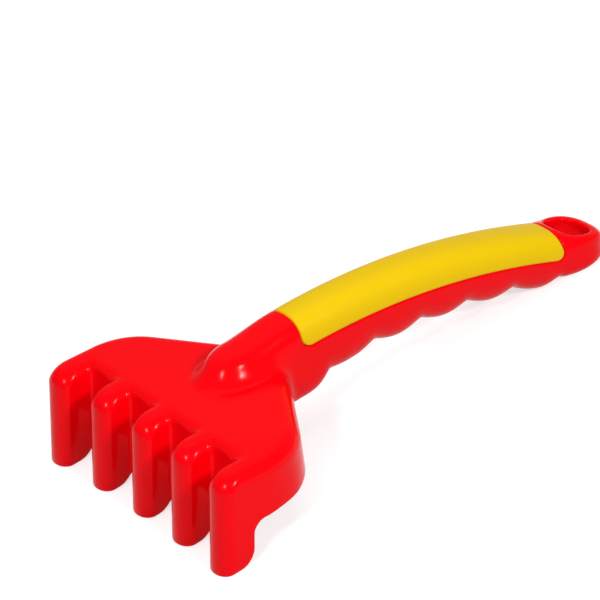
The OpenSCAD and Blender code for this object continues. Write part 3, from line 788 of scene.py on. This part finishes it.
class RakeFinish(bpy.types.PropertyGroup):
    """Colours and gloss of the two mouldings."""
    body_colour: colour("Body colour", "Colour of the glossy body", (0.93, 0.0, 0.004))
    body_rough: share("Body roughness", "Roughness of the body's polished mould", 0.16)
    body_gloss: share("Body gloss", "Strength of the body's mirror gloss", 0.08)
    body_bump: length("Body bump", "Depth of the body's grain", 0.2)
    cover_colour: colour("Cover colour", "Colour of the satin cover", (0.82, 0.54, 0.0))
    cover_rough: share("Cover roughness", "Roughness of the cover's etched mould", 0.42)
    cover_gloss: share("Cover gloss", "Strength of the cover's mirror gloss", 0.12)
    cover_bump: length("Cover bump", "Depth of the cover's grain", 0.1)


class RakeStage(bpy.types.PropertyGroup):
    """Camera, floor and studio light."""
    camera_place: FloatVectorProperty(name="Camera", description="Place of the camera", size=3,
                                      subtype="TRANSLATION", default=(0.591806, 0.950868, 0.768095))
    camera_aim: FloatVectorProperty(name="Aim", description="Point at the middle of the picture", size=3,
                                    subtype="TRANSLATION", default=(0.022260, 0.0, 0.045180))
    camera_roll: angle("Camera roll", "Turn of the camera about its own axis", -11.98)
    camera_lens: FloatProperty(name="Lens", description="Focal length for a 36 mm wide picture",
                               default=229.285, unit="CAMERA")
    floor_size: length("Floor", "Side of the square floor", 6000)
    floor_drop: length("Floor drop", "Distance of the floor below the rake", 0.1)
    floor_colour: colour("Floor colour", "Colour of the floor", (0.5, 0.5, 0.5))
    floor_glow: share("Floor glow", "Light that the floor adds for rays that look at it", 0.66)
    sky_level: share("Sky", "Strength of the even light from all round", 0.34, 0, 4)


def feed(tree, socket, value):
    """Sets a socket to a number, or links another socket to it."""
    if isinstance(value, (int, float)):
        socket.default_value = value
    else:
        tree.links.new(value, socket)


def math_node(tree, operation, first, second):
    """A Math node fed by two numbers or sockets, giving back its result."""
    node = tree.nodes.new("ShaderNodeMath")
    node.operation = operation
    feed(tree, node.inputs[0], first)
    feed(tree, node.inputs[1], second)
    return node.outputs[0]


def noise_node(tree, vector, scale, detail):
    """Noise about its middle, from about -0.5 to 0.5."""
    node = tree.nodes.new("ShaderNodeTexNoise")
    for label, value in (("Vector", vector), ("Scale", scale), ("Detail", detail)):
        feed(tree, node.inputs[label], value)
    return math_node(tree, "SUBTRACT", node.outputs["Fac"], 0.5)


def moulded_group():
    """Moulded plastic: cloudy pigment, patchy gloss, fine handling marks and the grain of the mould.

    Colour is the pigment times one plus cloudy noise. Roughness is its level plus fine noise and thin
    stretched marks. Height is the mould's grain plus slow waves of shrinking.
    """
    made = bpy.data.node_groups.get("moulded_plastic")
    if made:
        return made
    tree = bpy.data.node_groups.new("moulded_plastic", "ShaderNodeTree")
    for way, labels in (("INPUT", ("Colour", "Roughness", *BODY_EFFECT)),
                        ("OUTPUT", ("Colour", "Roughness", "Height"))):
        for label in labels:
            kind = "NodeSocketColor" if label == "Colour" else "NodeSocketFloat"
            tree.interface.new_socket(label, in_out=way, socket_type=kind)
    given = tree.nodes.new("NodeGroupInput").outputs
    result = tree.nodes.new("NodeGroupOutput").inputs
    place = tree.nodes.new("ShaderNodeTexCoord").outputs["Object"]
    cloud = math_node(tree, "MULTIPLY", noise_node(tree, place, *CLOUD), given["Clouding"])
    tint = tree.nodes.new("ShaderNodeVectorMath")
    tint.operation = "SCALE"
    tree.links.new(given["Colour"], tint.inputs[0])
    tree.links.new(math_node(tree, "ADD", cloud, 1.0), tint.inputs["Scale"])
    tree.links.new(tint.outputs[0], result["Colour"])
    patch = math_node(tree, "MULTIPLY", noise_node(tree, place, *PATCH), given["Patchiness"])
    turn = tree.nodes.new("ShaderNodeMapping")
    turn.inputs["Rotation"].default_value = MARK_TURN
    turn.inputs["Scale"].default_value = MARK_STRETCH
    tree.links.new(place, turn.inputs["Vector"])
    mark = tree.nodes.new("ShaderNodeMapRange")
    mark.inputs["From Min"].default_value, mark.inputs["From Max"].default_value = MARK_RANGE
    tree.links.new(noise_node(tree, turn.outputs[0], *MARK), mark.inputs["Value"])
    marks = math_node(tree, "MULTIPLY", mark.outputs[0], given["Marks"])
    rough = math_node(tree, "ADD", given["Roughness"], patch)
    tree.links.new(math_node(tree, "ADD", rough, marks), result["Roughness"])
    grain = noise_node(tree, place, given["Grain scale"], GRAIN_DETAIL)
    grain = math_node(tree, "MULTIPLY", grain, given["Grain"])
    sink = noise_node(tree, place, *SINK)
    tree.links.new(math_node(tree, "ADD", grain, sink), result["Height"])
    return tree


def plastic(name, rgb, rough, gloss, bump, effect_values):
    """A plastic with the moulded effect in its colour, roughness and bump, and a share of mirror gloss."""
    material = bpy.data.materials.new(name)
    material.use_nodes = True
    nodes, links = material.node_tree.nodes, material.node_tree.links
    shader = nodes["Principled BSDF"].inputs
    effect = nodes.new("ShaderNodeGroup")
    effect.node_tree = moulded_group()
    for label, value in {"Colour": (*rgb, 1), "Roughness": rough, **effect_values}.items():
        effect.inputs[label].default_value = value
    links.new(effect.outputs["Colour"], shader["Base Color"])
    links.new(effect.outputs["Roughness"], shader["Roughness"])
    height = nodes.new("ShaderNodeBump")
    height.inputs["Distance"].default_value = bump
    links.new(effect.outputs["Height"], height.inputs["Height"])
    links.new(height.outputs[0], shader["Normal"])
    shader["Specular IOR Level"].default_value = gloss
    return material


def finished(piece, material, node):
    """Gives a piece its material and its place in the frame."""
    piece.data.materials.append(material)
    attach(piece, "root")
    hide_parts(node)


class RAKE_OT_body(bpy.types.Operator):
    """Makes the body: tines, plate, nose, wavy trough and eyelet in one glossy moulding"""
    bl_idname = "rake.body"
    bl_label = "Body"

    def execute(self, context):
        scene = context.scene
        head, grip, finish = scene.rake_head, scene.rake_grip, scene.rake_finish
        form = RakeForm(head, grip)

        def depth(points):
            """Wall of the body, thinner where the eyelet's ring is narrow."""
            thin = smooth((form.place(form.grip_end, 0, 0)[0] - points[:, 0]) / grip.eye_fade)
            return mix(head.wall, grip.eye_thin * head.wall, thin)

        piece = thick_mesh("body_shell", body_skin(form), depth, head.rim_round, neck_wall(form))
        finished(piece, plastic("red_gloss", finish.body_colour, finish.body_rough, finish.body_gloss,
                                finish.body_bump, BODY_EFFECT), "rake_body")
        return {"FINISHED"}


class RAKE_OT_cover(bpy.types.Operator):
    """Makes the cover: a satin arched shell pressed into the window on the handle"""
    bl_idname = "rake.cover"
    bl_label = "Cover"

    def execute(self, context):
        scene = context.scene
        grip, finish = scene.rake_grip, scene.rake_finish
        piece = thick_mesh("cover_shell", cover_skin(RakeForm(scene.rake_head, grip)),
                           lambda points: np.full(len(points), grip.cover_wall), grip.cover_round)
        finished(piece, plastic("yellow_satin", finish.cover_colour, finish.cover_rough, finish.cover_gloss,
                                finish.cover_bump, COVER_EFFECT), "grip_cover")
        return {"FINISHED"}


def facing(place, aim):
    """A matrix at a place with its own -Z axis towards a point."""
    place, aim = Vector(place), Vector(aim)
    return Matrix.Translation(place) @ (aim - place).to_track_quat("-Z", "Y").to_matrix().to_4x4()


def white_floor(stage):
    """A plain floor that adds light for rays from the camera, from gloss and through clear matter."""
    material = bpy.data.materials.new("white_floor")
    material.use_nodes = True
    tree = material.node_tree
    shader = tree.nodes["Principled BSDF"].inputs
    shader["Base Color"].default_value = (*stage.floor_colour, 1)
    shader["Specular IOR Level"].default_value = 0.0
    path = tree.nodes.new("ShaderNodeLightPath").outputs
    seen = math_node(tree, "ADD", path["Is Camera Ray"], path["Is Glossy Ray"])
    seen = math_node(tree, "ADD", seen, path["Is Transmission Ray"])
    seen = math_node(tree, "MINIMUM", seen, 1.0)
    tree.links.new(math_node(tree, "MULTIPLY", seen, stage.floor_glow), shader["Emission Strength"])
    return material


class RAKE_OT_stage(bpy.types.Operator):
    """Makes the floor, the studio light and the camera"""
    bl_idname = "rake.stage"
    bl_label = "Stage"

    def execute(self, context):
        stage, scene = context.scene.rake_stage, context.scene
        half, low = stage.floor_size / 2, -stage.floor_drop
        mesh = bpy.data.meshes.new("floor")
        corners = [(x * half, y * half, low) for x, y in ((-1, -1), (1, -1), (1, 1), (-1, 1))]
        mesh.from_pydata(corners, [], [(0, 1, 2, 3)])
        mesh.materials.append(white_floor(stage))
        floor = bpy.data.objects.new("floor", mesh)
        scene.collection.objects.link(floor)
        scene.world = bpy.data.worlds.new("studio")
        scene.world.use_nodes = True
        sky = scene.world.node_tree.nodes["Background"].inputs
        sky["Color"].default_value = (1, 1, 1, 1)
        sky["Strength"].default_value = stage.sky_level
        for name, way, far, size, power, mirrored in STUDIO:
            lamp = bpy.data.lights.new(name, "AREA")
            lamp.shape, lamp.size, lamp.energy = "SQUARE", size, power
            light = bpy.data.objects.new(name, lamp)
            light.matrix_world = facing(Vector(way).normalized() * far, LIGHT_AIM)
            light.visible_glossy = mirrored
            scene.collection.objects.link(light)
        lens = bpy.data.cameras.new("camera")
        lens.lens = stage.camera_lens
        lens.clip_start, lens.clip_end = 0.05, 50
        scene.camera = bpy.data.objects.new("camera", lens)
        scene.camera.matrix_world = (facing(stage.camera_place, stage.camera_aim)
                                     @ Matrix.Rotation(stage.camera_roll, 4, "Z"))
        scene.collection.objects.link(scene.camera)
        scene.view_settings.view_transform = "Standard"
        return {"FINISHED"}


GROUPS = {"rake_head": RakeHead, "rake_grip": RakeGrip, "rake_finish": RakeFinish, "rake_stage": RakeStage}
STEPS = (RAKE_OT_body, RAKE_OT_cover, RAKE_OT_stage)


class RAKE_PT_panel(bpy.types.Panel):
    """Lists the sizes and the steps of making the rake"""
    bl_idname = "RAKE_PT_panel"
    bl_label = "Sand Rake"
    bl_space_type = "VIEW_3D"
    bl_region_type = "UI"
    bl_category = "Sand Rake"

    def draw(self, context):
        for step in STEPS:
            self.layout.operator(step.bl_idname)
        for name, kind in GROUPS.items():
            box = self.layout.box()
            box.label(text=kind.__doc__)
            for prop in kind.__annotations__:
                box.prop(getattr(context.scene, name), prop)


def register():
    """Makes the sizes, steps and panel known."""
    for kind in (*GROUPS.values(), *STEPS, RAKE_PT_panel):
        bpy.utils.register_class(kind)
    for name, kind in GROUPS.items():
        setattr(bpy.types.Scene, name, PointerProperty(type=kind))


def unregister():
    """Takes the sizes, steps and panel away again."""
    for name in GROUPS:
        delattr(bpy.types.Scene, name)
    for kind in (RAKE_PT_panel, *STEPS[::-1], *list(GROUPS.values())[::-1]):
        bpy.utils.unregister_class(kind)


def main():
    """Makes the whole rake."""
    register()
    bpy.ops.rake.body()
    bpy.ops.rake.cover()
    bpy.ops.rake.stage()


if __name__ == "__main__":
    main()
